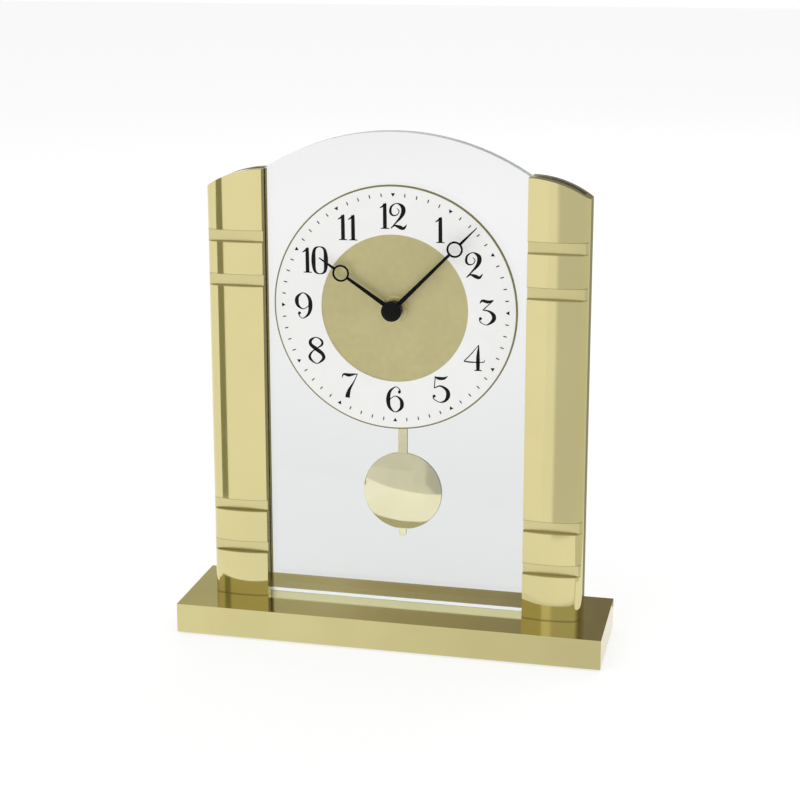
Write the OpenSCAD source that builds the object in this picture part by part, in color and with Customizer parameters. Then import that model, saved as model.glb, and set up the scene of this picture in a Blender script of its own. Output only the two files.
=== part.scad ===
// Table clock: an arched glass pane held between two grooved brass columns on
// a brass plinth. A dial and hands sit on the pane, a quartz movement and its
// pendulum hang behind it. Origin at the middle of the underside, X to the
// right, Y to the back, Z up. Millimetres.

/* [Plinth] */
// How far the plinth reaches sideways past the columns
base_side = 11; // [8:0.5:18]
// Depth of the plinth, front to back
base_d = 49; // [48:1:60]
// Height of the plinth bar
base_h = 13; // [11:0.5:18]
// Thickness of the felt under the plinth
felt_t = 0.8; // [0.5:0.1:2]
// Distance from the plinth's edge to the felt's edge
felt_inset = 2; // [1:0.5:4]

/* [Glass] */
// Thickness of the glass
glass_t = 6; // [5:0.5:6]
// Front face of the glass, measured back from the middle of the plinth
glass_front = -2; // [-3:0.5:1]
// Height of the crown of the arch above the plinth
arch_rise = 208; // [204:1:214]
// Radius of the arch between the columns
arch_r = 104.5; // [100:0.5:112]
// Width of the facet ground along the foot of the front face
foot_facet = 2.6; // [1:0.1:2.8]

/* [Columns] */
// Distance between the inner faces of the columns
column_gap = 114; // [112:1:120]
// Width of a column
column_w = 25.5; // [24:0.5:27]
// How far a column stands in front of the glass
column_proud = 5.5; // [5:0.25:8]
// Wall of the column behind the glass
column_back = 2.4; // [1:0.1:3]
// Wall of the column beside the edge of the glass
column_side = 2.6; // [2:0.1:4]
// How far the column's lip behind the glass stays back from its inner face
lip_inset = 0.6; // [0:0.1:8]
// Radius of the gently bowed front of a column
bow_r = 50; // [40:1:80]
// Radius of the outer front corner of a column
corner_r = 7; // [5:0.5:7.5]
// Radius of the shoulder that a column's top is cut to
shoulder_r = 42; // [38:1:60]
// Height of one groove
groove_h = 5; // [3:0.5:8]
// Depth of a groove at the crown of the bow
groove_depth = 2.7; // [1.5:0.1:4]
// Distance between the two grooves of a pair
groove_pitch = 19.2; // [14:0.2:26]
// Top edge of the lower pair of grooves, above the plinth
low_groove = 44.2; // [40:0.2:60]
// Top edge of the upper pair of grooves, above the plinth
high_groove = 164.7; // [150:0.2:180]
// Gap between the glass and its slot in the column, on each face
slot_gap = 0.1; // [0.05:0.05:0.3]
// Gap between the edge of the glass and the bottom of its slot
edge_gap = 0.3; // [0.1:0.1:0.8]

/* [Column screws] */
// Diameter of the screws that hold the columns
screw_d = 3; // [2.5:0.5:3.5]
// Diameter of their heads
screw_head_d = 5.5; // [5:0.5:6.5]
// Height of their heads
screw_head_h = 3; // [2:0.5:4]
// How far they reach into the column
screw_reach = 14; // [8:1:24]
// Distance from a column's edge to its screws
screw_edge = 5.5; // [4.5:0.5:7]

/* [Dial] */
// Height of the centre of the dial above the plinth
dial_rise = 133; // [130:1:140]
// Diameter of the brass dial plate
dial_d = 105.8; // [100:0.2:108]
// Thickness of the dial plate
dial_t = 0.8; // [0.5:0.1:1.5]
// Outer diameter of the silvered chapter ring
chapter_d = 104.4; // [96:0.2:104.6]
// Inner diameter of the chapter ring
chapter_bore = 63.8; // [50:0.2:76]
// Thickness of the chapter ring
chapter_t = 0.4; // [0.3:0.1:1]

/* [Hands] */
// Minutes past the hour that the hands show
show_minutes = 7.4; // [0:0.1:59]
// Hour that the hands show
show_hour = 10; // [0:1:11]
// Reach of the hour hand
hour_reach = 38.3; // [34:0.1:40]
// Distance from the centre to the middle of the hour hand's ring
hour_ring_at = 27; // [22:0.5:29]
// Outer diameter of the hour hand's ring
hour_ring_d = 7.3; // [6:0.1:9]
// Reach of the minute hand
minute_reach = 51.6; // [48:0.1:52]
// Distance from the centre to the middle of the minute hand's ring
minute_ring_at = 38.4; // [34:0.5:42]
// Outer diameter of the minute hand's ring
minute_ring_d = 6.9; // [6:0.1:8]
// Width of a hand's ring
ring_w = 0.8; // [0.6:0.1:1.2]
// Width of a hand where it leaves its boss
hand_w = 2; // [1.4:0.1:2.6]
// Width of a hand where it meets its ring
neck_w = 1.2; // [0.8:0.1:1.4]
// Thickness of a hand
hand_t = 0.4; // [0.3:0.05:0.5]
// Diameter of the domed cap nut on the minute arbor
cap_d = 8.7; // [7:0.1:10]
// Height of the cap nut
cap_h = 2.6; // [2.2:0.1:4]

/* [Shaft stack] */
// Diameter of the minute arbor
arbor_d = 3.2; // [3:0.1:3.6]
// Wall of the hour pipe
pipe_wall = 0.8; // [0.6:0.1:0.9]
// Diameter of the threaded bush
bush_d = 8; // [7.6:0.1:8.4]
// Radial running clearance of the shafts
running = 0.05; // [0.02:0.01:0.08]
// Radial clearance of holes over the bush
hole_gap = 0.4; // [0.2:0.1:0.8]
// Diameter of the round washer on the dial
washer_d = 11.6; // [11:0.1:14]
// Thickness of the washer
washer_t = 0.5; // [0.3:0.1:1]
// Size of the mounting nut across its flats
nut_flats = 9.6; // [9.6:0.1:11]
// Height of the mounting nut
nut_h = 1.4; // [1:0.1:2.5]
// Free gap between stacked pieces that turn at different speeds
stack_gap = 0.35; // [0.3:0.05:0.6]
// Length of a hand's boss along the shaft
boss_l = 1.2; // [0.9:0.1:1.5]
// Thickness of the rubber washer behind the glass
rubber_t = 1; // [0.5:0.1:2]
// Diameter of the rubber washer
rubber_d = 18; // [14:1:24]

/* [Movement case] */
// Depth of the case
case_t = 16; // [15.8:0.1:18]
// Wall of the case
case_wall = 1.5; // [1:0.1:1.6]
// Distance from the shaft down to the bottom of the case
case_down = 40; // [39:0.5:42]
// Distance from the shaft up to the battery bay
bay_up = 13.9; // [13.5:0.1:15]
// Gap round the battery in its bay
battery_gap = 0.3; // [0.2:0.1:0.5]
// Room for a contact at each end of the battery
contact_room = 1.25; // [1.2:0.05:2.5]
// Diameter of the battery
battery_d = 14.5; // [14.1:0.1:14.5]
// Length of the battery over its terminal
battery_l = 50.5; // [49.5:0.1:50.5]
// Diameter of the battery's terminal
terminal_d = 5.5; // [4:0.1:6]
// Height of the battery's terminal
terminal_h = 1.2; // [1:0.1:1.5]
// Thickness of the contact strips
contact_t = 0.4; // [0.3:0.1:0.6]
// Diameter of the time-setting knob
knob_d = 10; // [8:0.5:12]
// Height of the knob behind the cover
knob_h = 2; // [1.5:0.1:2.1]

/* [Wheels] */
// Module of the motion work
motion_m = 0.4; // [0.38:0.01:0.4]
// Module of the going train
train_m = 0.25; // [0.24:0.01:0.25]
// Thickness of a wheel in the going train
wheel_t = 0.5; // [0.4:0.05:0.55]
// Thickness of a wheel in the motion work
motion_t = 1; // [0.7:0.1:1]
// Diameter of the small arbors
pivot_d = 0.8; // [0.6:0.1:0.9]
// Share of a gear's pitch that a tooth fills
tooth_share = 0.38; // [0.32:0.01:0.4]

/* [Pendulum] */
// Distance from the shaft down to the pendulum's pivot
pivot_down = 20; // [19:0.5:22]
// Distance from the pivot to the hook that carries the rod
hook_down = 13.5; // [13:0.5:15]
// Middle of the rod, measured back from the middle of the plinth
rod_back = 16; // [15.6:0.1:16.4]
// Width of the rod
rod_w = 4.3; // [3:0.1:5]
// Thickness of the rod
rod_t = 0.8; // [0.5:0.1:1]
// Distance from the shaft down to the centre of the bob
bob_down = 86.2; // [80:0.1:96]
// Diameter of the bob
bob_d = 35.4; // [28:0.2:40]
// Thickness of the bob at its middle
bob_t = 5.4; // [3.5:0.1:6]
// Thickness of the bob at its rim
rim_t = 0.8; // [0.5:0.1:1.5]
// How far the rod's tail shows under the bob
tail_l = 3.3; // [2:0.1:6]
// Width of the tail
tail_w = 3.3; // [2:0.1:4]

/* [Hidden] */
$fn = 96;

// Gap between pieces that are fixed to each other, such as a screw in its thread
seat = 0.05;
// Overlap that makes two shapes of one solid run into each other
bite = 0.2;

// Plinth and columns
base_top = felt_t + base_h;
column_in = column_gap / 2;
column_out = column_in + column_w;
base_w = 2 * (column_out + base_side);
bow_at = 11.5;
glass_back = glass_front + glass_t;
column_front = glass_front - column_proud;
column_rear = glass_back + slot_gap + column_back;
slot_end = column_out - column_side;
glass_half = slot_end - edge_gap;
arch_z = base_top + arch_rise - arch_r;
shoulder_z = arch_z + sqrt(arch_r * arch_r - column_in * column_in) - shoulder_r;
bow_room = 0.3;
screw_y = glass_front - slot_gap - column_proud / 2 + bow_room;
screw_seat = base_top - base_h / 2;
screw_play = 0.25;

// Stack of pieces on the shaft, from the glass forwards
shaft_z = base_top + dial_rise;
thread_show = 0.3;
arbor_show = 1.8;
cap_room = 0.1;
arbor_r = arbor_d / 2;
pipe_r = arbor_r + running + pipe_wall;
bush_r = bush_d / 2;
clear_hole_r = bush_r + hole_gap;
dial_face = glass_front - dial_t;
washer_face = dial_face - washer_t;
nut_face = washer_face - nut_h;
bush_front = nut_face - thread_show;
hour_back = bush_front - stack_gap;
hour_face = hour_back - boss_l;
minute_back = hour_face - stack_gap;
minute_face = minute_back - boss_l;
boss_wall = 1;
tip_w = 0.4;

// Case, from the glass backwards
case_front = glass_back + rubber_t;
floor_back = case_front + case_wall;
case_rear = case_front + case_t;
cover_front = case_rear - case_wall;
bay_h = battery_d + 2 * battery_gap;
case_up = bay_up + bay_h + case_wall;
divider_low = bay_up - case_wall;
battery_z = bay_up + battery_gap + battery_d / 2;
battery_y = floor_back + battery_gap + battery_d / 2;
bush_flange_t = 0.8;
bush_flange_r = bush_r + 1.5;

// Layers of the wheels, from the floor of the case backwards
motion_gap = 0.55;
cannon_over = 0.2;
centre_gap = 0.8;
third_step = 1.2;
fourth_step = 1.1;
bridge_step = 2.6;
hour_y = floor_back + bush_flange_t + stack_gap;
motion_y = hour_y + motion_t + motion_gap;
centre_y = motion_y + motion_t + centre_gap;
third_y = centre_y + third_step;
fourth_y = third_y + fourth_step;
bridge_y = fourth_y + bridge_step;
bridge_t = 0.8;
bridge_back = bridge_y + bridge_t;
pinion_l = 1;
boss_h = 0.7;
boss_r = 1.5;
pivot_r = pivot_d / 2;
pivot_skin = 0.7;
pivot_play = 0.2;
pivot_front = case_front + pivot_skin + pivot_play;
journal_r = 0.9;
stem_r = 1.25;

// Teeth and centre distances
cannon_n = 12;
motion_n = 36;
motion_pinion_n = 10;
hour_n = 40;
setting_n = 12;
leaf_n = 8;
fifth_n = 40;
fourth_n = 48;
third_n = 60;
centre_n = 64;
motion_far = motion_m * (cannon_n + motion_n) / 2;
hour_m = 2 * motion_far / (motion_pinion_n + hour_n);
setting_far = motion_m * (setting_n + motion_n) / 2;

// Directions from one axis to the next, counter-clockwise from +X as seen from the front
motion_dir = 205;
setting_dir = 165;
third_dir = -30;
fourth_dir = -10;
fifth_dir = 80;
rotor_dir = 50;

// Place of each axis, measured from the shaft
function step_to(from, dir, dist) = [from[0] + dist * cos(dir), from[1] + dist * sin(dir)];
motion_at = step_to([0, 0], motion_dir, motion_far);
setting_at = step_to(motion_at, setting_dir, setting_far);
third_at = step_to([0, 0], third_dir, train_m * (centre_n + leaf_n) / 2);
fourth_at = step_to(third_at, fourth_dir, train_m * (third_n + leaf_n) / 2);
fifth_at = step_to(fourth_at, fifth_dir, train_m * (fourth_n + leaf_n) / 2);
rotor_at = step_to(fifth_at, rotor_dir, train_m * (fifth_n + leaf_n) / 2);

// Angle at which gear B stands so that its gap meets a tooth of gear A
function mesh(dir, angle_a, teeth_a, teeth_b) =
    dir + 180 + 180 / teeth_b - (angle_a - dir) * teeth_a / teeth_b;
motion_turn = mesh(motion_dir, 0, cannon_n, motion_n);
setting_turn = mesh(setting_dir, motion_turn, motion_n, setting_n);
hour_turn = mesh(motion_dir + 180, motion_turn, motion_pinion_n, hour_n);
third_turn = mesh(third_dir, 0, centre_n, leaf_n);
fourth_turn = mesh(fourth_dir, third_turn, third_n, leaf_n);
fifth_turn = mesh(fifth_dir, fourth_turn, fourth_n, leaf_n);
rotor_turn = mesh(rotor_dir, fifth_turn, fifth_n, leaf_n);

// Motor, and the width that it and the battery need inside the case
magnet_r = 2.5;
magnet_t = 1.3;
stator_t = 0.8;
stator_y = bridge_y - stator_t;
stator_gap = 0.6;
stator_r = 4.9;
stator_room = 0.25;
bay_half = max(battery_l / 2 + contact_room, rotor_at[0] + stator_r + stator_room);
case_half = bay_half + case_wall;
core_w = 1.8;
coil_r = 2.6;
coil_l = 12;
coil_from = 2;
coil_z = divider_low - coil_r - 0.3;
coil_y = stator_y + stator_t / 2;
return_z = 3;

// Bridge, its posts and the circuit board
bridge_gap = 1.3;
bridge_half = bay_half - bridge_gap;
bridge_low = -16.5;
bridge_high = 2.6;
left_wing_w = 9.2;
right_wing_w = 7.7;
right_wing_high = 9.6;
post_r = 1.6;
post_x = bridge_half - post_r;
post_at = [[-post_x, -14], [post_x, -14], [-post_x, 1]];
post_screw_r = 0.6;
post_screw_l = 5;
post_head_r = 1.3;
post_head_h = 0.8;
board_t = 0.8;
board_from = [0.2 - bridge_half, 3.8];
board_size = [19, 8];
chip_at = [14, 4];
chip_r = 2.4;
crystal_r = 0.9;
crystal_l = 6;

// Contacts
dimple_r = 2;
dimple_gap = 0.1;

// Cover
tongue_t = 1;
tongue_w = 6;
tongue_l = 3.5;
tongue_z = 13 - case_down;
tongue_gap = 0.1;

// Pendulum, measured from the shaft
pin_r = 0.75;
hanger_r = 2;
hanger_t = 1.4;
hanger_w = 5;
rod_front = rod_back - rod_t / 2;
rod_rear = rod_back + rod_t / 2;
hanger_front = rod_front - 0.1 - hanger_t;
hook_z = -pivot_down - hook_down;
magnet_z = -pivot_down - 8.5;
hanger_magnet_r = 3;
hanger_magnet_t = 1.6;
drive_r = 5.5;
drive_gap = 0.5;
hook_r = 1;
hook_head_r = 1.6;
eye_w = 6.4;
eye_drop = 3;
slot_half = eye_w / 2 + 3.3;
slot_play = 0.8;
window_half = 9;
window_high = hook_z + 7;
pin_boss = 2;
pin_skin = 0.5;
hub_over = 1.5;
bob_z = -bob_down;

// Draws a flat shape seen from the front, between two depths, about the shaft
module layer(front, back) {
    translate([0, back, shaft_z])
        rotate([90, 0, 0])
            linear_extrude(back - front)
                children();
}

module at(place) {
    translate([place[0], place[1]]) children();
}

// A clock gear: straight flanks below the pitch circle, narrowed tips above it
module gear(teeth, m, turn) {
    half = tooth_share * 180 / teeth;
    root_r = m * (teeth / 2 - 1.25);
    pitch_r = m * teeth / 2;
    tip_r = m * (teeth / 2 + 0.85);
    rotate(turn)
        polygon([
            for (i = [0 : teeth - 1])
                for (p = [[root_r, -half], [pitch_r, -half], [tip_r, -half / 2.6],
                          [tip_r, half / 2.6], [pitch_r, half], [root_r, half]])
                    [p[0] * cos(i * 360 / teeth + p[1]), p[0] * sin(i * 360 / teeth + p[1])]
        ]);
}

module base_plinth() {
    color([0.72, 0.67, 0.42])
        difference() {
            translate([-base_w / 2, -base_d / 2, felt_t])
                cube([base_w, base_d, base_h]);
            for (p = screw_places())
                translate([p[0], p[1], 0]) {
                    cylinder(h = base_top + 1, r = screw_d / 2 + screw_play);
                    cylinder(h = screw_seat, r = screw_head_d / 2 + screw_play);
                }
        }
}

module base_felt() {
    color([0.10, 0.16, 0.12])
        translate([-base_w / 2 + felt_inset, -base_d / 2 + felt_inset, 0])
            cube([base_w - 2 * felt_inset, base_d - 2 * felt_inset, felt_t]);
}

function screw_places() = [
    for (side = [-1, 1])
        for (x = [column_in + screw_edge, column_out - screw_edge])
            [side * x, screw_y]
];

module column_screws() {
    color([0.75, 0.75, 0.72])
        for (p = screw_places())
            translate([p[0], p[1], screw_seat]) {
                translate([0, 0, -screw_head_h]) cylinder(h = screw_head_h, r = screw_head_d / 2);
                cylinder(h = base_top - screw_seat + screw_reach, r = screw_d / 2 - seat);
            }
}

// Plan of the right column: bowed front, round outer corner, slot for the glass
module column_plan() {
    difference() {
        intersection() {
            translate([column_in + bow_at, column_front + bow_r]) circle(r = bow_r, $fn = 180);
            union() {
                translate([column_in, column_front])
                    square([column_w - corner_r, column_rear - column_front]);
                translate([column_in, column_front + corner_r])
                    square([column_w, column_rear - column_front - corner_r]);
                translate([column_out - corner_r, column_front + corner_r]) circle(r = corner_r);
            }
        }
        translate([column_in - 1, glass_front - slot_gap])
            square([slot_end - column_in + 1, glass_t + 2 * slot_gap]);
        translate([column_in - 1, glass_back])
            square([lip_inset + 1, column_back + 1]);
    }
}

// Front view of the curve that the top of the right column is cut to
module shoulder_cut() {
    translate([column_in, shoulder_z]) circle(r = shoulder_r, $fn = 180);
    translate([column_in - 1, 0]) square([column_w + 2, shoulder_z]);
}

module column() {
    difference() {
        intersection() {
            translate([0, 0, base_top])
                linear_extrude(arch_rise)
                    column_plan();
            translate([0, column_rear + 1, 0])
                rotate([90, 0, 0])
                    linear_extrude(column_rear - column_front + 2)
                        shoulder_cut();
        }
        for (top = [low_groove - groove_pitch, low_groove, high_groove - groove_pitch, high_groove])
            translate([column_in - 1, column_front - 1, base_top + top - groove_h])
                cube([column_w + 2, groove_depth + 1, groove_h]);
        for (x = [column_in + screw_edge, column_out - screw_edge])
            translate([x, screw_y, base_top - 1])
                cylinder(h = screw_reach + 2, r = screw_d / 2);
    }
}

module right_column() {
    color([0.83, 0.80, 0.58]) column();
}

module left_column() {
    color([0.83, 0.80, 0.58]) mirror([1, 0, 0]) column();
}

module glass_outline() {
    translate([-glass_half, base_top]) square([2 * glass_half, shoulder_z - base_top]);
    intersection() {
        translate([0, arch_z]) circle(r = arch_r, $fn = 180);
        translate([-column_in, shoulder_z - 1]) square([2 * column_in, arch_rise]);
    }
    for (side = [0, 1])
        mirror([side, 0])
            intersection() {
                translate([column_in, shoulder_z]) circle(r = shoulder_r, $fn = 180);
                translate([column_in - 1, shoulder_z - 1])
                    square([glass_half - column_in + 1, shoulder_r + 2]);
            }
}

module glass_panel() {
    facet_w = sqrt(2) * foot_facet;
    color([0.85, 0.92, 0.90, 0.35])
        difference() {
            translate([0, glass_back, 0])
                rotate([90, 0, 0])
                    linear_extrude(glass_t)
                        difference() {
                            glass_outline();
                            translate([0, shaft_z]) circle(r = clear_hole_r);
                        }
            translate([0, glass_front, base_top])
                rotate([45, 0, 0])
                    cube([2 * glass_half + 2, facet_w, facet_w], center = true);
        }
}

// A flat ring about the shaft
module ring(outer_r, inner_r) {
    difference() {
        circle(r = outer_r);
        circle(r = inner_r);
    }
}

module dial_plate() {
    color([0.76, 0.71, 0.48]) layer(dial_face, glass_front) ring(dial_d / 2, clear_hole_r);
}

module chapter_ring() {
    color([0.93, 0.93, 0.91])
        layer(dial_face - chapter_t, dial_face) ring(chapter_d / 2, chapter_bore / 2);
}

module dial_washer() {
    color([0.83, 0.79, 0.52]) layer(washer_face, dial_face) ring(washer_d / 2, bush_r + seat);
}

module mounting_nut() {
    color([0.83, 0.79, 0.52])
        layer(nut_face, washer_face)
            difference() {
                circle(r = nut_flats / 2 / cos(30), $fn = 6);
                circle(r = bush_r + seat);
            }
}

module mounting_bush() {
    color([0.80, 0.74, 0.45]) {
        layer(bush_front, floor_back + bite) ring(bush_r, pipe_r + running);
        layer(floor_back, floor_back + bush_flange_t) ring(bush_flange_r, pipe_r + running);
    }
}

module rubber_washer() {
    color([0.08, 0.08, 0.08]) layer(glass_back, case_front) ring(rubber_d / 2, clear_hole_r);
}

// A box about the shaft, given by its left, low, right and high edges as seen from the front
module pane(left, low, right, high) {
    translate([left, low]) square([right - left, high - low]);
}

module movement_housing() {
    color([0.09, 0.09, 0.10])
        difference() {
            union() {
                layer(case_front, floor_back) pane(-case_half, -case_down, case_half, case_up);
                layer(floor_back - bite, cover_front)
                    difference() {
                        pane(-case_half, -case_down, case_half, divider_low + bite);
                        pane(-bay_half, -case_down + case_wall, bay_half, divider_low);
                    }
                layer(floor_back - bite, case_rear)
                    difference() {
                        pane(-case_half, divider_low, case_half, case_up);
                        pane(-bay_half, bay_up, bay_half, bay_up + bay_h);
                    }
                for (place = [motion_at, setting_at, third_at, fourth_at, fifth_at, rotor_at])
                    layer(floor_back - bite, floor_back + boss_h) at(place) circle(r = boss_r);
                for (place = post_at)
                    layer(floor_back - bite, bridge_y) at(place) circle(r = post_r);
                layer(floor_back - bite, floor_back + pin_boss) at([0, -pivot_down]) circle(r = hanger_r);
            }
            layer(case_front - 1, floor_back + 1) circle(r = bush_r + seat);
            for (place = [motion_at, setting_at, third_at, fourth_at, fifth_at, rotor_at])
                layer(case_front + pivot_skin, floor_back + boss_h + 1)
                    at(place) circle(r = pivot_r + running);
            for (place = post_at)
                layer(bridge_back - post_screw_l - seat, bridge_y + 1)
                    at(place) circle(r = post_screw_r + seat);
            layer(case_front + pivot_skin, floor_back + pin_boss + 1)
                at([0, -pivot_down]) circle(r = pin_r + seat);
            layer(rod_front - slot_play, cover_front + 1)
                pane(-slot_half, -case_down - 1, slot_half, -case_down + case_wall + 1);
        }
}

module movement_cover() {
    color([0.11, 0.11, 0.12])
        difference() {
            union() {
                layer(cover_front, case_rear)
                    pane(-case_half, -case_down, case_half, divider_low - tongue_gap);
                for (side = [-1, 1])
                    layer(cover_front - tongue_l, cover_front + bite)
                        at([side * (bay_half - tongue_t / 2 - tongue_gap), tongue_z])
                            square([tongue_t, tongue_w], center = true);
            }
            layer(cover_front - 1, case_rear + 1) at(setting_at) circle(r = stem_r + running);
            layer(cover_front - 1, case_rear - pin_skin) at([0, -pivot_down]) circle(r = pin_r + seat);
            layer(cover_front - 1, case_rear + 1)
                pane(-window_half, -case_down - 1, window_half, window_high);
        }
}

module train_bridge() {
    color([0.86, 0.86, 0.84])
        layer(bridge_y, bridge_back)
            difference() {
                union() {
                    pane(-bridge_half, bridge_low, bridge_half, bridge_high);
                    pane(-bridge_half, bridge_high - 1,
                         left_wing_w - bridge_half, board_from[1] + board_size[1]);
                    pane(bridge_half - right_wing_w, bridge_high - 1, bridge_half, right_wing_high);
                }
                circle(r = journal_r + running);
                for (place = [motion_at, third_at, fourth_at, fifth_at, rotor_at])
                    at(place) circle(r = pivot_r + running);
                at(setting_at) circle(r = stem_r + 0.3);
                for (place = post_at) at(place) circle(r = post_screw_r + seat);
            }
}

module bridge_screws() {
    color([0.75, 0.75, 0.72])
        for (place = post_at) {
            layer(bridge_back, bridge_back + post_head_h) at(place) circle(r = post_head_r);
            layer(bridge_back - post_screw_l, bridge_back + bite) at(place) circle(r = post_screw_r);
        }
}

module minute_arbor() {
    color([0.80, 0.74, 0.45]) {
        layer(minute_face - arbor_show, motion_y) circle(r = arbor_r);
        layer(motion_y - cannon_over, motion_y + motion_t + cannon_over) gear(cannon_n, motion_m, 0);
        layer(motion_y + motion_t, bridge_back) circle(r = journal_r);
    }
}

module hour_wheel() {
    color([0.90, 0.88, 0.80]) {
        layer(hour_y, hour_y + motion_t)
            difference() {
                gear(hour_n, hour_m, hour_turn);
                circle(r = arbor_r + running);
            }
        layer(hour_face, hour_y + bite) ring(pipe_r, arbor_r + running);
    }
}

// An arbor with pivots that run in the floor of the case and in the bridge
module arbor(place) {
    layer(pivot_front, bridge_back) at(place) circle(r = pivot_r);
}

module motion_wheel() {
    color([0.90, 0.88, 0.80]) {
        arbor(motion_at);
        layer(hour_y - 0.1, motion_y + bite) at(motion_at) gear(motion_pinion_n, hour_m, motion_turn);
        layer(motion_y, motion_y + motion_t) at(motion_at) gear(motion_n, motion_m, motion_turn);
    }
}

module centre_wheel() {
    color([0.86, 0.80, 0.52]) {
        layer(centre_y, centre_y + wheel_t)
            difference() {
                gear(centre_n, train_m, 0);
                circle(r = journal_r + running);
            }
        layer(centre_y - 0.3, centre_y + wheel_t + 0.2) ring(journal_r + 1.3, journal_r + running);
    }
}

module third_wheel() {
    color([0.90, 0.88, 0.80]) {
        arbor(third_at);
        layer(third_y - pinion_l - 0.4, third_y + bite) at(third_at) gear(leaf_n, train_m, third_turn);
        layer(third_y, third_y + wheel_t) at(third_at) gear(third_n, train_m, third_turn);
    }
}

module fourth_wheel() {
    color([0.90, 0.88, 0.80]) {
        arbor(fourth_at);
        layer(fourth_y - pinion_l - 0.3, fourth_y + bite)
            at(fourth_at) gear(leaf_n, train_m, fourth_turn);
        layer(fourth_y, fourth_y + wheel_t) at(fourth_at) gear(fourth_n, train_m, fourth_turn);
    }
}

module fifth_wheel() {
    color([0.90, 0.88, 0.80]) {
        arbor(fifth_at);
        layer(centre_y + wheel_t - bite, fourth_y + wheel_t + 0.2)
            at(fifth_at) gear(leaf_n, train_m, fifth_turn);
        layer(centre_y, centre_y + wheel_t) at(fifth_at) gear(fifth_n, train_m, fifth_turn);
    }
}

module rotor() {
    color([0.90, 0.88, 0.80]) {
        arbor(rotor_at);
        layer(centre_y - 0.2, centre_y + wheel_t + 0.3) at(rotor_at) gear(leaf_n, train_m, rotor_turn);
    }
}

module rotor_magnet() {
    color([0.35, 0.35, 0.37])
        layer(bridge_y - 0.2 - magnet_t, bridge_y - 0.2)
            at(rotor_at) ring(magnet_r, pivot_r + seat);
}

module stator() {
    color([0.62, 0.63, 0.65])
        layer(stator_y, bridge_y)
            difference() {
                union() {
                    at(rotor_at) circle(r = stator_r);
                    pane(0, coil_z - core_w / 2, rotor_at[0], coil_z + core_w / 2);
                    pane(-1.5, return_z, 0.5, coil_z + core_w / 2);
                    pane(-1.5, return_z, rotor_at[0] - magnet_r, return_z + 1.6);
                }
                at(rotor_at) circle(r = magnet_r + stator_gap);
            }
}

module motor_coil() {
    core_r = norm([core_w, stator_t]) / 2 + seat;
    color([0.72, 0.42, 0.22])
        translate([coil_from, coil_y, shaft_z + coil_z])
            rotate([0, 90, 0])
                difference() {
                    union() {
                        cylinder(h = coil_l, r = coil_r - 0.2);
                        for (z = [0, coil_l - 0.5]) translate([0, 0, z]) cylinder(h = 0.5, r = coil_r);
                    }
                    translate([0, 0, -1]) cylinder(h = coil_l + 2, r = core_r);
                }
}

module circuit_board() {
    color([0.12, 0.38, 0.22]) {
        layer(bridge_back, bridge_back + board_t)
            pane(board_from[0], board_from[1], board_from[0] + board_size[0], board_from[1] + board_size[1]);
    }
    color([0.05, 0.05, 0.05])
        layer(bridge_back + board_t - bite, bridge_back + 2 * board_t)
            at(board_from + chip_at) circle(r = chip_r);
}

module quartz_crystal() {
    color([0.80, 0.80, 0.78])
        translate([board_from[0] + 2, bridge_back + board_t + crystal_r + seat, shaft_z + board_from[1] + 2])
            rotate([0, 90, 0])
                cylinder(h = crystal_l, r = crystal_r);
}

module setting_knob() {
    knob_front = case_rear + stack_gap;
    color([0.12, 0.12, 0.13]) {
        layer(pivot_front, motion_y + bite) at(setting_at) circle(r = pivot_r);
        layer(motion_y, motion_y + motion_t) at(setting_at) gear(setting_n, motion_m, setting_turn);
        layer(motion_y + motion_t - bite, knob_front + bite) at(setting_at) circle(r = stem_r);
        layer(knob_front, knob_front + knob_h)
            at(setting_at)
                difference() {
                    circle(r = knob_d / 2);
                    for (i = [0 : 11]) rotate(30 * i) at([knob_d / 2 + 0.2, 0]) circle(r = 0.7);
                }
    }
}

module battery() {
    can_l = battery_l - terminal_h;
    translate([-battery_l / 2, battery_y, shaft_z + battery_z])
        rotate([0, 90, 0]) {
            color([0.16, 0.17, 0.20]) cylinder(h = can_l, r = battery_d / 2);
            color([0.75, 0.75, 0.75])
                translate([0, 0, can_l - bite]) cylinder(h = terminal_h + bite, r = terminal_d / 2);
        }
}

// Contact strip against one end of the battery bay, with the dimple that meets the battery
module contact(side) {
    reach = bay_half - battery_l / 2 - dimple_gap;
    layer(battery_y - 3, battery_y + 3)
        pane(min(side * bay_half, side * (bay_half - contact_t)), bay_up,
             max(side * bay_half, side * (bay_half - contact_t)), bay_up + bay_h);
    translate([side * bay_half, battery_y, shaft_z + battery_z])
        rotate([0, -90 * side, 0])
            cylinder(h = reach, r = dimple_r);
}

module contact_positive() {
    color([0.80, 0.80, 0.76]) contact(1);
}

module contact_negative() {
    color([0.80, 0.80, 0.76]) contact(-1);
}

module pendulum_pin() {
    color([0.75, 0.75, 0.72])
        layer(pivot_front, case_rear - pin_skin - 0.1) at([0, -pivot_down]) circle(r = pin_r);
}

module pendulum_hanger() {
    color([0.90, 0.90, 0.88]) {
        layer(hanger_front - hub_over, rod_rear + hub_over)
            at([0, -pivot_down]) ring(hanger_r, pin_r + running);
        layer(hanger_front, hanger_front + hanger_t)
            difference() {
                union() {
                    pane(-hanger_w / 2, hook_z, hanger_w / 2, -pivot_down);
                    at([0, hook_z]) circle(r = hanger_w / 2);
                    at([0, -pivot_down]) circle(r = hanger_w / 2);
                }
                at([0, -pivot_down]) circle(r = pin_r + running);
            }
        layer(hanger_front + hanger_t - bite, rod_rear + 0.8) at([0, hook_z]) circle(r = hook_r);
        layer(rod_rear + 0.2, rod_rear + 0.8) at([0, hook_z]) circle(r = hook_head_r);
    }
}

module hanger_magnet() {
    color([0.60, 0.61, 0.64])
        layer(hanger_front - hanger_magnet_t, hanger_front)
            at([0, magnet_z]) circle(r = hanger_magnet_r);
}

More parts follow.
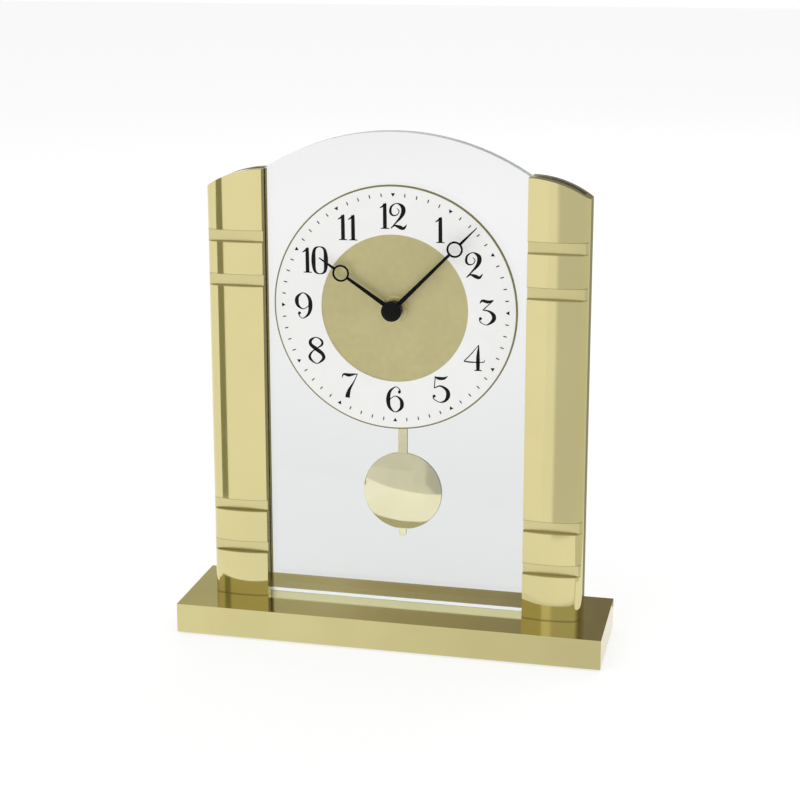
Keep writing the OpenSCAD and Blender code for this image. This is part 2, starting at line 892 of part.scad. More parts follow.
module drive_coil() {
    coil_back = hanger_front - hanger_magnet_t - drive_gap;
    color([0.72, 0.42, 0.22]) {
        layer(floor_back, coil_back) at([0, magnet_z]) ring(drive_r - 0.4, 1.6);
        for (y = [floor_back, coil_back - 0.5])
            layer(y, y + 0.5) at([0, magnet_z]) ring(drive_r, 1.6);
    }
}

module pendulum_rod() {
    tail_z = bob_z - bob_d / 2 - tail_l;
    color([0.80, 0.76, 0.50])
        layer(rod_front, rod_rear)
            difference() {
                union() {
                    pane(-rod_w / 2, bob_z - bob_d / 2 + 1, rod_w / 2, hook_z);
                    pane(-tail_w / 2, tail_z + tail_w / 2, tail_w / 2, bob_z);
                    at([0, tail_z + tail_w / 2]) circle(r = tail_w / 2);
                    at([0, hook_z]) circle(r = eye_w / 2);
                    at([0, hook_z - eye_drop]) circle(r = eye_w / 2);
                    pane(-eye_w / 2, hook_z - eye_drop, eye_w / 2, hook_z);
                }
                at([0, hook_z]) circle(r = hook_r + seat);
                pane(-hook_r - seat, hook_z - eye_drop, hook_r + seat, hook_z);
                at([0, hook_z - eye_drop]) circle(r = hook_head_r + 0.2);
            }
}

// Half section of the bob: a shallow arc on each face and a thin rim
module bob_section() {
    sag = (bob_t - rim_t) / 2;
    lens_r = (bob_d * bob_d / 4 + sag * sag) / (2 * sag);
    reach = asin(bob_d / 2 / lens_r);
    steps = 10;
    face = [for (i = [0 : steps]) [lens_r * sin(reach * i / steps),
                                   bob_t / 2 - lens_r + lens_r * cos(reach * i / steps)]];
    polygon(concat(face, [for (i = [steps : -1 : 0]) [face[i][0], -face[i][1]]]));
}

module pendulum_bob() {
    color([0.84, 0.80, 0.56])
        difference() {
            translate([0, rod_back, shaft_z + bob_z])
                rotate([90, 0, 0])
                    rotate_extrude($fn = 120) bob_section();
            layer(rod_front - seat, rod_rear + seat)
                pane(-rod_w / 2 - seat, bob_z - bob_d, rod_w / 2 + seat, bob_z + bob_d);
        }
}

// Blade of a hand that points to twelve: tapered bar, open ring and spike
module blade(reach, ring_at, ring_d) {
    joint = ring_d / 2 - ring_w / 2;
    difference() {
        union() {
            polygon([[-hand_w / 2, 0], [hand_w / 2, 0],
                     [neck_w / 2, ring_at - joint], [-neck_w / 2, ring_at - joint]]);
            at([0, ring_at]) circle(r = ring_d / 2);
            polygon([[-neck_w / 2, ring_at + joint], [neck_w / 2, ring_at + joint],
                     [tip_w / 2, reach], [-tip_w / 2, reach]]);
        }
        at([0, ring_at]) circle(r = ring_d / 2 - ring_w);
    }
}

// A hand with its boss, turned clockwise from twelve
module hand(turn, face, back, bore_r, reach, ring_at, ring_d) {
    color([0.03, 0.03, 0.03])
        difference() {
            union() {
                layer(face, face + hand_t) rotate(-turn) blade(reach, ring_at, ring_d);
                layer(face, back) circle(r = bore_r + boss_wall);
            }
            layer(face - 1, back + 1) circle(r = bore_r);
        }
}

module hour_hand() {
    hand(30 * show_hour + show_minutes / 2, hour_face, hour_back, pipe_r + seat,
         hour_reach, hour_ring_at, hour_ring_d);
}

module minute_hand() {
    hand(6 * show_minutes, minute_face, minute_back, arbor_r + seat,
         minute_reach, minute_ring_at, minute_ring_d);
}

module cap_nut() {
    rim = 1;
    dome_r = (cap_d * cap_d / 4 + (cap_h - rim) * (cap_h - rim)) / (2 * (cap_h - rim));
    color([0.02, 0.02, 0.02])
        difference() {
            intersection() {
                layer(minute_face - cap_h, minute_face) circle(r = cap_d / 2);
                translate([0, minute_face - cap_h + dome_r, shaft_z]) sphere(r = dome_r);
            }
            layer(minute_face - arbor_show - cap_room, minute_face + 1) circle(r = arbor_r + seat);
        }
}

base_plinth();
base_felt();
column_screws();
left_column();
right_column();
glass_panel();
dial_plate();
chapter_ring();
dial_washer();
mounting_nut();
mounting_bush();
rubber_washer();
movement_housing();
movement_cover();
train_bridge();
bridge_screws();
minute_arbor();
motion_wheel();
hour_wheel();
centre_wheel();
third_wheel();
fourth_wheel();
fifth_wheel();
rotor();
rotor_magnet();
stator();
motor_coil();
circuit_board();
quartz_crystal();
setting_knob();
battery();
contact_positive();
contact_negative();
pendulum_pin();
pendulum_hanger();
hanger_magnet();
drive_coil();
pendulum_rod();
pendulum_bob();
hour_hand();
minute_hand();
cap_nut();
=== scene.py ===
import math
import bpy
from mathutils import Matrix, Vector


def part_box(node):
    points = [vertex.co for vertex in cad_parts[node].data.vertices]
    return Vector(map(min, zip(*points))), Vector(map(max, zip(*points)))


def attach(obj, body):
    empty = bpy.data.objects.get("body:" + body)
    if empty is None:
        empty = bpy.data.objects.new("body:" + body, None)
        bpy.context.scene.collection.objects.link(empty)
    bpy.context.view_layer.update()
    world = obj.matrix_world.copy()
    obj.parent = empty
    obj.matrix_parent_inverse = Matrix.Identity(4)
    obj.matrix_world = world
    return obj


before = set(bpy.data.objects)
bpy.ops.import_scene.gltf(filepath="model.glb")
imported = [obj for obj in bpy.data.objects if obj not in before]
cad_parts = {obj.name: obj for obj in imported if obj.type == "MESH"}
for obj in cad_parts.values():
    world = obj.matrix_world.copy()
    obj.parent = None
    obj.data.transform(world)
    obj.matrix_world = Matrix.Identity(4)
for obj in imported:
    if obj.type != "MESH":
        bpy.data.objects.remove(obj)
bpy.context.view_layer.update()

# The studio: the camera stands to the right of the clock and looks down at it. The floor
# and the air are white. Grey walls further up, and flat cards that show only as mirror
# images, give the polished metal something dark to mirror.
mm = 0.001
camera_place = (0.1636, -0.7107, 0.3061)
camera_turn = 0.2238
camera_tilt = 0.2223
picture_w = 800
focal_px = 1754
drop_px = 80
camera_data = bpy.data.cameras.new("camera")
camera_data.sensor_width = 36
camera_data.lens = focal_px / picture_w * camera_data.sensor_width
camera_data.shift_y = -drop_px / picture_w
camera_data.clip_start = 0.01
camera = bpy.data.objects.new("camera", camera_data)
camera.location = camera_place
camera.rotation_euler = (math.pi / 2 - camera_tilt, 0, camera_turn)
bpy.context.scene.collection.objects.link(camera)
bpy.context.scene.camera = camera
bpy.context.scene.view_settings.view_transform = "Standard"


def add(tree, kind, **settings):
    """One node of a material or of the world, with its settings and fixed inputs."""
    made = tree.nodes.new(kind)
    for key, value in settings.items():
        if key in made.inputs:
            made.inputs[key].default_value = value
        else:
            setattr(made, key, value)
    return made


def flat_sheet(name, corners):
    """A flat four-cornered sheet."""
    data = bpy.data.meshes.new(name)
    data.from_pydata(corners, [], [(0, 1, 2, 3)])
    sheet = bpy.data.objects.new(name, data)
    bpy.context.scene.collection.objects.link(sheet)
    return sheet


world = bpy.data.worlds.new("studio")
world.use_nodes = True
bpy.context.scene.world = world
air = world.node_tree
air.nodes.clear()


def blend(tree, kind, fac, one, two):
    """Mixes two sockets or colours by a socket."""
    mixed = add(tree, "ShaderNodeMix", data_type=kind)
    ports = {"FLOAT": (2, 3, 0), "RGBA": (6, 7, 2)}[kind]
    tree.links.new(fac, mixed.inputs[0])
    for port, value in zip(ports, (one, two)):
        if isinstance(value, bpy.types.NodeSocket):
            tree.links.new(value, mixed.inputs[port])
        else:
            mixed.inputs[port].default_value = value
    return mixed.outputs[ports[2]]


def span(tree, value, low, high, to_low=0.0, to_high=1.0):
    """Maps a socket's values from one range to another, and clamps them there."""
    mapped = add(tree, "ShaderNodeMapRange")
    tree.links.new(value, mapped.inputs["Value"])
    for key, number in (("From Min", low), ("From Max", high),
                        ("To Min", to_low), ("To Max", to_high)):
        mapped.inputs[key].default_value = number
    return mapped.outputs[0]


def ramp(tree, value, stops):
    """Gives a socket's values, 0 to 1, the colours of a row of (place, colour) stops."""
    made = add(tree, "ShaderNodeValToRGB")
    marks = made.color_ramp.elements
    marks.remove(marks[1])
    marks[0].position, marks[0].color = stops[0][0], (*stops[0][1], 1)
    for where, colour in stops[1:]:
        marks.new(where).color = (*colour, 1)
    tree.links.new(value, made.inputs["Fac"])
    return made.outputs["Color"]


place = add(air, "ShaderNodeTexCoord")
toward = add(air, "ShaderNodeSeparateXYZ")
air.links.new(place.outputs["Generated"], toward.inputs[0])
behind = span(air, toward.outputs["Y"], -0.3, 0.3)
front_low = span(air, toward.outputs["Z"], 0.22, 0.26)
back_low = span(air, toward.outputs["Z"], 0.02, 0.05)
ceiling = span(air, toward.outputs["Z"], 0.45, 0.60)
front_wall = (0.66, 0.63, 0.49, 1)
below_wall = (0.96, 0.96, 0.96, 1)
above_wall = (0.95, 0.95, 0.94, 1)
# The back wall's shades, by the X of the direction that a ray leaves in
wall_left, wall_right = -0.35, -0.05
wall_shades = [(-0.33, (0.515, 0.50, 0.385)), (-0.30, (0.56, 0.54, 0.40)),
               (-0.27, (0.63, 0.60, 0.44)), (-0.236, (0.69, 0.625, 0.50)),
               (-0.224, (0.55, 0.49, 0.345)), (-0.18, (0.50, 0.445, 0.305)),
               (-0.16, (0.46, 0.405, 0.295)), (-0.107, (0.235, 0.21, 0.165))]
back_wall = ramp(air, span(air, toward.outputs["X"], wall_left, wall_right),
                 [((x - wall_left) / (wall_right - wall_left), shade) for x, shade in wall_shades])
wall = blend(air, "RGBA", behind, front_wall, back_wall)
wall_from = blend(air, "FLOAT", behind, front_low, back_low)
lower = blend(air, "RGBA", wall_from, below_wall, wall)
walls = blend(air, "RGBA", ceiling, lower, above_wall)
ray = add(air, "ShaderNodeLightPath")
mirrored = add(air, "ShaderNodeMath", operation="MAXIMUM")
unmirrored = add(air, "ShaderNodeMath", operation="SUBTRACT", use_clamp=True)
seen_straight = add(air, "ShaderNodeMath", operation="MAXIMUM")
studio = add(air, "ShaderNodeBackground", Strength=1.0)
soft_light = add(air, "ShaderNodeBackground", Color=(1, 1, 1, 1), Strength=0.72)
backdrop = add(air, "ShaderNodeBackground", Color=(1, 1, 1, 1), Strength=1.0)
pick_studio = add(air, "ShaderNodeMixShader")
pick_backdrop = add(air, "ShaderNodeMixShader")
out = add(air, "ShaderNodeOutputWorld")
for source, target in (
    (walls, studio.inputs["Color"]),
    (ray.outputs["Is Glossy Ray"], mirrored.inputs[0]),
    (ray.outputs["Is Transmission Ray"], mirrored.inputs[1]),
    (mirrored.outputs[0], pick_studio.inputs["Fac"]),
    (soft_light.outputs[0], pick_studio.inputs[1]),
    (studio.outputs[0], pick_studio.inputs[2]),
    (ray.outputs["Is Transmission Ray"], unmirrored.inputs[0]),
    (ray.outputs["Glossy Depth"], unmirrored.inputs[1]),
    (ray.outputs["Is Camera Ray"], seen_straight.inputs[0]),
    (unmirrored.outputs[0], seen_straight.inputs[1]),
    (seen_straight.outputs[0], pick_backdrop.inputs["Fac"]),
    (pick_studio.outputs[0], pick_backdrop.inputs[1]),
    (backdrop.outputs[0], pick_backdrop.inputs[2]),
    (pick_backdrop.outputs[0], out.inputs["Surface"]),
):
    air.links.new(source, target)

floor_reach = 6.0
floor = flat_sheet("floor", [(-floor_reach, -floor_reach, 0), (floor_reach, -floor_reach, 0),
                             (floor_reach, floor_reach, 0), (-floor_reach, floor_reach, 0)])
paper = bpy.data.materials.new("white_paper")
paper.use_nodes = True
ground = paper.node_tree
ground.nodes.clear()
lit = add(ground, "ShaderNodeBsdfDiffuse", Color=(0.34, 0.34, 0.34, 1))
glow = add(ground, "ShaderNodeEmission", Color=(0.7, 0.7, 0.7, 1), Strength=1.0)
both = add(ground, "ShaderNodeAddShader")
seen = add(ground, "ShaderNodeOutputMaterial")
ground.links.new(lit.outputs[0], both.inputs[0])
ground.links.new(glow.outputs[0], both.inputs[1])
ground.links.new(both.outputs[0], seen.inputs["Surface"])
floor.data.materials.append(paper)


def card(name, corners, colour, only_behind_glass=False):
    """A sheet that shows in polished metal alone: it is clear until a ray has been mirrored."""
    sheet = flat_sheet(name, corners)
    paint = bpy.data.materials.new(name)
    paint.use_nodes = True
    tree = paint.node_tree
    tree.nodes.clear()
    face = add(tree, "ShaderNodeEmission", Strength=1.0)
    if isinstance(colour, tuple):
        face.inputs["Color"].default_value = (*colour, 1)
    else:
        tree.links.new(colour(tree), face.inputs["Color"])
    clear = add(tree, "ShaderNodeBsdfTransparent")
    pick = add(tree, "ShaderNodeMixShader")
    ray = add(tree, "ShaderNodeLightPath")
    end = add(tree, "ShaderNodeOutputMaterial")
    tree.links.new(ray.outputs["Glossy Depth"], pick.inputs["Fac"])
    tree.links.new(clear.outputs[0], pick.inputs[1])
    tree.links.new(face.outputs[0], pick.inputs[2])
    tree.links.new(pick.outputs[0], end.inputs["Surface"])
    sheet.data.materials.append(paint)
    sheet.visible_camera = False
    sheet.visible_diffuse = False
    sheet.visible_glossy = not only_behind_glass
    sheet.visible_shadow = False


def spot_of(tree):
    """Where a point of the surface is, in metres, as its X, Y and Z."""
    place = add(tree, "ShaderNodeTexCoord")
    spot = add(tree, "ShaderNodeSeparateXYZ")
    tree.links.new(place.outputs["Object"], spot.inputs[0])
    return spot.outputs


def shade_to_the_right(tree):
    """Bright to the left of a line from the right column to the front, dull to its right."""
    foot_x, foot_y = 0.068, -0.007
    spot = spot_of(tree)
    across = add(tree, "ShaderNodeMath", operation="SUBTRACT")
    ahead = add(tree, "ShaderNodeMath", operation="SUBTRACT")
    slant = add(tree, "ShaderNodeMath", operation="DIVIDE")
    across.inputs[1].default_value = foot_x
    ahead.inputs[0].default_value = foot_y
    tree.links.new(spot["X"], across.inputs[0])
    tree.links.new(spot["Y"], ahead.inputs[1])
    tree.links.new(across.outputs[0], slant.inputs[0])
    tree.links.new(ahead.outputs[0], slant.inputs[1])
    bright = math.tan(math.radians(-6))
    dull = math.tan(math.radians(-2.5))
    return span(tree, slant.outputs[0], bright, dull, 1.0, 0.70)


def fade_to_the_right(tree):
    """A shade that deepens from one end of the plinth to the other."""
    return span(tree, spot_of(tree)["X"], -0.1, 0.1, 1.05, 0.80)


def lying(corners, height=0.001):
    """The corners of a sheet that lies just above the floor."""
    return [(x, y, height) for x, y in corners]


def upright(foot, other_foot, top):
    """The corners of a sheet that stands on the floor."""
    return [(*foot, 0), (*other_foot, 0), (*other_foot, top), (*foot, top)]


shade_y = -0.307
side_x, side_y = 0.16, -0.148
behind_y = 0.026
ahead_y = -0.0247
far_right = 4.0
far_back = 2.6
card("right_floor_shade", lying([(-0.02, shade_y), (far_right, shade_y),
                                 (far_right, side_y), (0.02, side_y)]), shade_to_the_right)
card("right_shade", upright((-0.01, shade_y), (3.0, shade_y), 0.35), shade_to_the_right)
card("side_shade", lying([(side_x, side_y), (far_right, side_y),
                          (far_right, far_back), (side_x, far_back)]), (0.72, 0.72, 0.66))
card("left_shade", upright((-0.164, -0.153), (-0.184, -0.140), 0.30), (0.31, 0.31, 0.21))
card("back_shade", lying([(-0.09, behind_y), (0.088, behind_y),
                          (1.2, far_back), (0.36, far_back)], 0.002), (0.30, 0.28, 0.18))
card("front_shade", lying([(-0.2, ahead_y), (0.2, ahead_y),
                           (0.2, -0.060), (-0.2, -0.060)], 0.0005), fade_to_the_right)
card("near_light", lying([(-0.5, -0.026), (0.3, -0.026), (0.3, -0.076), (-0.5, -0.338)]),
     (1.5, 1.5, 1.5), only_behind_glass=True)


def softbox(name, place, aim, size, power):
    """A square lamp with a wide soft face, turned towards a point."""
    lamp = bpy.data.lights.new(name, "AREA")
    lamp.shape = "SQUARE"
    lamp.size = size
    lamp.energy = power
    shone = bpy.data.objects.new(name, lamp)
    shone.location = place
    shone.rotation_euler = (Vector(aim) - Vector(place)).to_track_quat("-Z", "Y").to_euler()
    shone.visible_camera = False
    shone.visible_glossy = False
    shone.visible_transmission = False
    bpy.context.scene.collection.objects.link(shone)


softbox("key_lamp", (-0.9, -1.1, 1.3), (0, 0, 0.1), 2.0, 9)
softbox("fill_lamp", (1.2, -0.9, 1.1), (0, 0, 0.1), 2.0, 5)
softbox("back_lamp", (0.3, 1.4, 1.4), (0, 0, 0.1), 1.2, 6)

# The plinth: a bar of solid brass, milled, polished and lacquered, with its sharp edges
# broken. The columns are screwed to it from below through counterbored holes.
def surface(name, **inputs):
    """A material with one Principled shader, and that shader."""
    made = bpy.data.materials.new(name)
    made.use_nodes = True
    shader = made.node_tree.nodes["Principled BSDF"]
    for key, value in inputs.items():
        shader.inputs[key.replace("_", " ")].default_value = value
    return made, shader


def pattern(made, size, detail=2.0, stretch=(1, 1, 1)):
    """Noise in real sizes: size is about the width of one patch, in metres."""
    tree = made.node_tree
    place = add(tree, "ShaderNodeTexCoord")
    scale = add(tree, "ShaderNodeMapping", Scale=stretch)
    noise = add(tree, "ShaderNodeTexNoise", Scale=1 / size, Detail=detail)
    tree.links.new(place.outputs["Object"], scale.inputs["Vector"])
    tree.links.new(scale.outputs["Vector"], noise.inputs["Vector"])
    return noise.outputs["Fac"]


def tint(made, shader, one, two, size, detail=3.0):
    """Lets the colour drift between two near shades."""
    noise_low, noise_high = 0.35, 0.65
    noise = pattern(made, size, detail)
    shades = ramp(made.node_tree, noise, [(noise_low, one), (noise_high, two)])
    made.node_tree.links.new(shades, shader.inputs["Base Color"])


def rub(made, shader, low, high, size, stretch=(1, 1, 1)):
    """Lets the roughness drift between two values."""
    noise_low, noise_high = 0.3, 0.7
    noise = pattern(made, size, 4.0, stretch)
    patches = span(made.node_tree, noise, noise_low, noise_high, low, high)
    made.node_tree.links.new(patches, shader.inputs["Roughness"])


def relief(made, shader, depth, size, stretch=(1, 1, 1), detail=3.0):
    """Raises and sinks the surface by depth metres, one relief on top of the last."""
    tree = made.node_tree
    bump = add(tree, "ShaderNodeBump", Strength=1.0, Distance=depth)
    tree.links.new(pattern(made, size, detail, stretch), bump.inputs["Height"])
    before = shader.inputs["Normal"].links
    if before:
        tree.links.new(before[0].from_socket, bump.inputs["Normal"])
    tree.links.new(bump.outputs["Normal"], shader.inputs["Normal"])


def dress(made, *names):
    """Gives CAD nodes their finish."""
    for name in names:
        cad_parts[name].material_slots[0].material = made


sharp_angle = math.radians(35)


def smooth_group():
    """Modifier nodes that keep shading smooth, except across sharp edges."""
    group = bpy.data.node_groups.new("smooth_by_angle", "GeometryNodeTree")
    group.interface.new_socket("Geometry", in_out="INPUT", socket_type="NodeSocketGeometry")
    group.interface.new_socket("Geometry", in_out="OUTPUT", socket_type="NodeSocketGeometry")
    start = add(group, "NodeGroupInput")
    end = add(group, "NodeGroupOutput")
    angle = add(group, "GeometryNodeInputMeshEdgeAngle")
    flat = add(group, "FunctionNodeCompare", data_type="FLOAT", operation="LESS_THAN")
    flat.inputs["B"].default_value = sharp_angle
    faces = add(group, "GeometryNodeSetShadeSmooth", domain="FACE")
    edges = add(group, "GeometryNodeSetShadeSmooth", domain="EDGE")
    group.links.new(start.outputs[0], faces.inputs["Geometry"])
    group.links.new(faces.outputs[0], edges.inputs["Geometry"])
    group.links.new(angle.outputs["Unsigned Angle"], flat.inputs["A"])
    group.links.new(flat.outputs[0], edges.inputs["Shade Smooth"])
    group.links.new(edges.outputs[0], end.inputs[0])
    return group


by_angle = smooth_group()


def break_edges(name, width):
    """Rounds a CAD node's sharp edges by a hair, as the polishing wheel leaves them."""
    same_point = 0.001 * mm
    same_face = math.radians(0.3)
    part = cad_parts[name]
    if "custom_normal" in part.data.attributes:
        part.data.attributes.remove(part.data.attributes["custom_normal"])
    weld = part.modifiers.new("weld", "WELD")
    weld.merge_threshold = same_point
    whole = part.modifiers.new("whole_faces", "DECIMATE")
    whole.decimate_type = "DISSOLVE"
    whole.angle_limit = same_face
    bevel = part.modifiers.new("edges", "BEVEL")
    bevel.width = width
    bevel.segments = 3
    bevel.limit_method = "ANGLE"
    bevel.angle_limit = sharp_angle
    shade = part.modifiers.new("smooth", "NODES")
    shade.node_group = by_angle
    level = part.modifiers.new("flat_faces_stay_flat", "WEIGHTED_NORMAL")
    level.keep_sharp = True


plinth_brass, shader = surface("plinth_brass", Metallic=1.0)
tint(plinth_brass, shader, (0.645, 0.585, 0.285), (0.615, 0.55, 0.265), 0.03)
rub(plinth_brass, shader, 0.09, 0.14, 0.006)
relief(plinth_brass, shader, 0.0000010, 0.0004, (0.08, 1, 1))
dress(plinth_brass, "base_plinth")
break_edges("base_plinth", 0.3 * mm)

# The felt: a thin sheet of dark green wool felt, cut smaller than the plinth and glued
# under it. It hides the screw holes and keeps the shelf from scratches.
felt, shader = surface("felt", Roughness=0.95, Sheen_Weight=0.5)
tint(felt, shader, (0.02, 0.045, 0.028), (0.035, 0.07, 0.045), 0.0012, 6.0)
relief(felt, shader, 0.0002, 0.0006, detail=6.0)
dress(felt, "base_felt")

# The column screws: four steel machine screws, turned and left bright. They come up
# through the plinth and hold both columns. The movement's small steel parts match them.
steel, shader = surface("steel", Metallic=1.0)
tint(steel, shader, (0.60, 0.60, 0.58), (0.52, 0.52, 0.51), 0.002)
rub(steel, shader, 0.22, 0.36, 0.0008)
dress(steel, "column_screws", "bridge_screws", "pendulum_pin")

# The columns: two extruded bars of brass with a gently bowed front and a slot down the
# inner side for the glass. Each has four milled grooves, a shoulder sawn to the line of
# the arch, and a mirror polish under clear lacquer.
column_brass, shader = surface("column_brass", Metallic=1.0)
tint(column_brass, shader, (0.705, 0.635, 0.322), (0.68, 0.61, 0.305), 0.04)
rub(column_brass, shader, 0.05, 0.09, 0.008)
relief(column_brass, shader, 0.0000012, 0.02, (1, 1, 0.4), 1.0)
groove_tops = (38.8 * mm, 58.0 * mm, 159.3 * mm, 178.5 * mm)
groove_h = 5.0 * mm
corner_line = 0.3 * mm


def by_height(tree, face, corner, groove):
    """One value for the column's face, one for its foot and the corners of its grooves, and
    one for their floors."""
    spot = spot_of(tree)
    foot_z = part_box("left_column")[0].z
    front_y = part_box("left_column")[0].y
    milled_depth = 4 * mm
    value = span(tree, spot["Z"], foot_z + corner_line, foot_z + 2 * corner_line, corner, face)
    for top in groove_tops:
        for reach, inside in ((groove_h / 2 + corner_line, corner),
                              (groove_h / 2 - corner_line, groove)):
            near = add(tree, "ShaderNodeMath", operation="COMPARE")
            near.inputs[1].default_value = top - groove_h / 2
            near.inputs[2].default_value = reach
            tree.links.new(spot["Z"], near.inputs[0])
            value = blend(tree, "FLOAT", near.outputs[0], value, inside)
    front = span(tree, spot["Y"], front_y + milled_depth + 0.5 * mm, front_y + milled_depth)
    return blend(tree, "FLOAT", front, face, value)


tree = column_brass.node_tree
# The colour is multiplied down at the column's foot, in the corners of its grooves and a little on
# their floors: painted shade in these corners and recesses. The roughness rises there too.
corner_shade_and_dullness = {"Base Color": ("MULTIPLY", (1.0, 0.66, 0.94)), "Roughness": ("ADD", (0, 0.1, 0.16))}
for socket, (mode, values) in corner_shade_and_dullness.items():
    mixed = add(tree, "ShaderNodeMix", data_type="RGBA", blend_type=mode)
    mixed.inputs[0].default_value = 1.0
    tree.links.new(shader.inputs[socket].links[0].from_socket, mixed.inputs[6])
    tree.links.new(by_height(tree, *values), mixed.inputs[7])
    tree.links.new(mixed.outputs[2], shader.inputs[socket])
dress(column_brass, "left_column", "right_column")
for name in ("left_column", "right_column"):
    break_edges(name, 0.3 * mm)

# The pane: 6 mm clear float glass, cut to the arch, with ground edges, a facet ground
# along the foot of its front and one hole for the shaft. It stands on the plinth with its
# sides in the columns' slots.
def facing_of(tree):
    """The way a face looks, as its X, Y and Z."""
    shape = add(tree, "ShaderNodeNewGeometry")
    facing = add(tree, "ShaderNodeSeparateXYZ")
    tree.links.new(shape.outputs["True Normal"], facing.inputs[0])
    return facing.outputs


# The ground faces are the ones that don't look along Y, and the facet is the one that
# looks down. Light scatters in them, so they are pale and a little rough.
clear_glass, shader = surface("clear_glass", Transmission_Weight=1.0, IOR=1.5,
                              Emission_Color=(0.9, 0.96, 1.0, 1))
tree = clear_glass.node_tree
facing = facing_of(tree)
along_y = add(tree, "ShaderNodeMath", operation="ABSOLUTE")
tree.links.new(facing["Y"], along_y.inputs[0])
edge = span(tree, along_y.outputs[0], 0.8, 0.75)
facet = span(tree, facing["Z"], -0.5, -0.6)
# The pane is painted darker below 70 mm and lighter above 190 mm, fading between: painted shade.
upper = span(tree, spot_of(tree)["Z"], 70 * mm, 190 * mm)
pane_painted_shade = blend(tree, "RGBA", upper, (0.755, 0.77, 0.765, 1), (0.86, 0.865, 0.86, 1))
# The facet is painted paler than the other ground faces and glows a little: painted light.
ground_tone_and_facet_light = blend(tree, "RGBA", facet, (0.80, 0.88, 0.85, 1), (0.86, 0.94, 1.0, 1))
ground_rough = 0.5
facet_painted_glow = 0.25
tree.links.new(blend(tree, "RGBA", edge, pane_painted_shade, ground_tone_and_facet_light), shader.inputs["Base Color"])
tree.links.new(span(tree, edge, 0, 1, 0, ground_rough), shader.inputs["Roughness"])
tree.links.new(span(tree, facet, 0, 1, 0, facet_painted_glow), shader.inputs["Emission Strength"])
dress(clear_glass, "glass_panel")
break_edges("glass_panel", 0.4 * mm)

# The dial plate: a disc of spun brass with a satin face. Its rim shows as a thin line round the
# silvered ring, painted dark as a painted shade, and its middle stays bare. It rests on the glass.
dial_brass, shader = surface("dial_brass", Metallic=1.0)
tint(dial_brass, shader, (0.61, 0.555, 0.30), (0.57, 0.52, 0.28), 0.02)
ring_low, ring_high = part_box("chapter_ring")
shaft_z = (ring_low.z + ring_high.z) / 2
ring_r = (ring_high.x - ring_low.x) / 2
tree = dial_brass.node_tree
place = add(tree, "ShaderNodeTexCoord")
middle = add(tree, "ShaderNodeMapping", Location=(0, 0, -shaft_z), Scale=(1, 0, 1))
radius = add(tree, "ShaderNodeVectorMath", operation="LENGTH")
tree.links.new(place.outputs["Object"], middle.inputs["Vector"])
tree.links.new(middle.outputs["Vector"], radius.inputs[0])
# Beyond the chapter ring the plate is painted dark: a painted shade line round its rim.
rim = span(tree, radius.outputs["Value"], ring_r, ring_r + 0.1 * mm)
painted_dark_rim = (0.27, 0.25, 0.12, 1)
face = shader.inputs["Base Color"].links[0].from_socket
tree.links.new(blend(tree, "RGBA", rim, face, painted_dark_rim), shader.inputs["Base Color"])
rub(dial_brass, shader, 0.50, 0.60, 0.003)
relief(dial_brass, shader, 0.000004, 0.00015, (1, 1, 0.15))
dress(dial_brass, "dial_plate")
# A hair of air behind the plate, or the two touching faces would look black from behind
hair = 0.02 * mm
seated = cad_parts["dial_plate"].modifiers.new("clearance", "DISPLACE")
seated.strength = -hair
seated.mid_level = 0

# The chapter ring: thin silvered aluminium with a fine matt grain, glued flat on the dial
# plate. The numerals and the minute track are printed on it.
silvered, shader = surface("silvered", Metallic=0.15)
tint(silvered, shader, (0.86, 0.86, 0.845), (0.84, 0.84, 0.825), 0.01)
rub(silvered, shader, 0.42, 0.52, 0.002)
relief(silvered, shader, 0.000003, 0.00012)
dress(silvered, "chapter_ring")

# The numerals: twelve hours printed in thick black ink, upright all the way round, in a
# face with fat stems, hair-thin joins and round drops at the ends of its curves.
ink, shader = surface("ink", Roughness=0.35, Specular_IOR_Level=0.1)
tint(ink, shader, (0.004, 0.004, 0.004), (0.008, 0.008, 0.008), 0.001)
print_y = ring_low.y
ink_t = 0.03 * mm
numeral_h = 11.0 * mm
numeral_r = 39.8 * mm
pen = 1.22
print_turn = math.radians(0.56)


